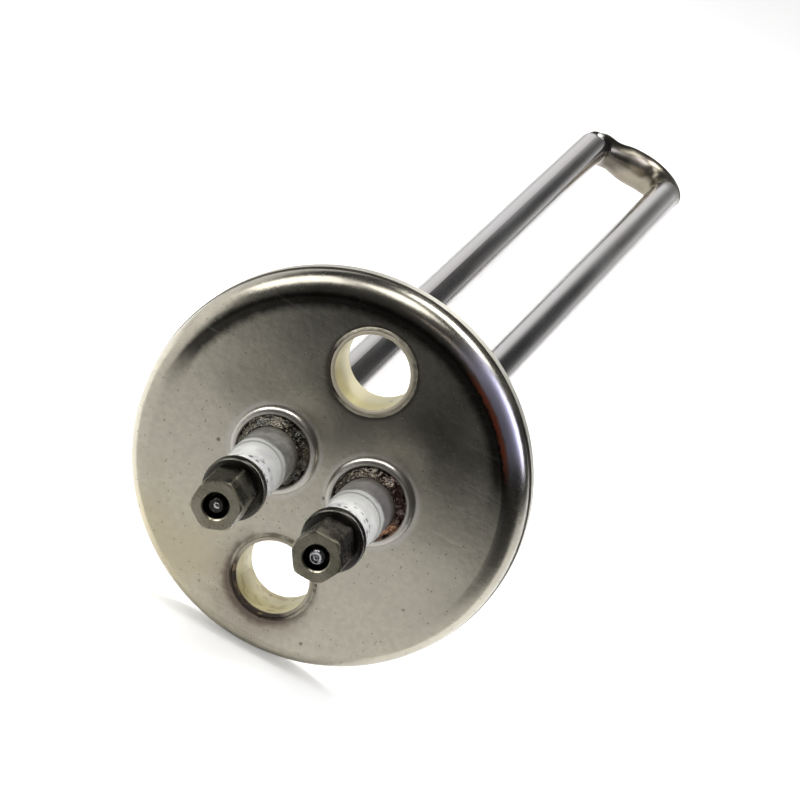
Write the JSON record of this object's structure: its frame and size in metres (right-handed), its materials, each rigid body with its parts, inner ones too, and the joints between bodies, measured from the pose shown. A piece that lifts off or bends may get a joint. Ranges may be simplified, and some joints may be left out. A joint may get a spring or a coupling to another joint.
{
  "type": "flanged immersion heating element",
  "caption": "Tubular water-heater element: a hairpin sheath brazed through a round pressed cap with ceramic-insulated hex terminals and open bushes.",
  "frame": {"origin": "centre of the flat inside face of the pressed cap, where its seal sits", "axes": "+Y from the cap into the tank, along the hairpin; the terminals point to -Y; +Z towards the upper bush; +X towards the right terminal"},
  "size_m": [0.072, 0.359, 0.072],
  "materials": {
    "cap_nickel": "nickel plate, fine pits and scratches",
    "bush_steel": "heat-tinted steel, yellowish",
    "sheath_steel": "drawn tube, brown tint at the bends",
    "ferrule_steel": "dull grey sleeve",
    "terminal_nickel": "darkened nickel plate",
    "pin_steel": "bright cut end",
    "leg_braze": "dark brown flux glass over braze, copper coloured below",
    "dark_braze": "brown braze line",
    "white_ceramic": "matt white with dark specks",
    "seal_resin": "cured resin",
    "magnesia": "packed powder",
    "resistance_wire": "wound resistance wire"
  },
  "bodies": {
    "root": {"flange": "cap_nickel", "upper_bush": "bush_steel", "lower_bush": "bush_steel", "upper_bush_braze": "dark_braze", "lower_bush_braze": "dark_braze", "sheath": "sheath_steel", "heating_coil": "resistance_wire", "coil_packing": "magnesia", "sheath_packing": "magnesia", "left_cold_pin": "pin_steel", "right_cold_pin": "pin_steel", "left_end_seal": "seal_resin", "right_end_seal": "seal_resin", "left_ferrule": "ferrule_steel", "right_ferrule": "ferrule_steel", "left_leg_braze": "leg_braze", "right_leg_braze": "leg_braze", "left_insulator": "white_ceramic", "right_insulator": "white_ceramic", "left_hex_terminal": "terminal_nickel", "right_hex_terminal": "terminal_nickel"}
  },
  "joints": []
}
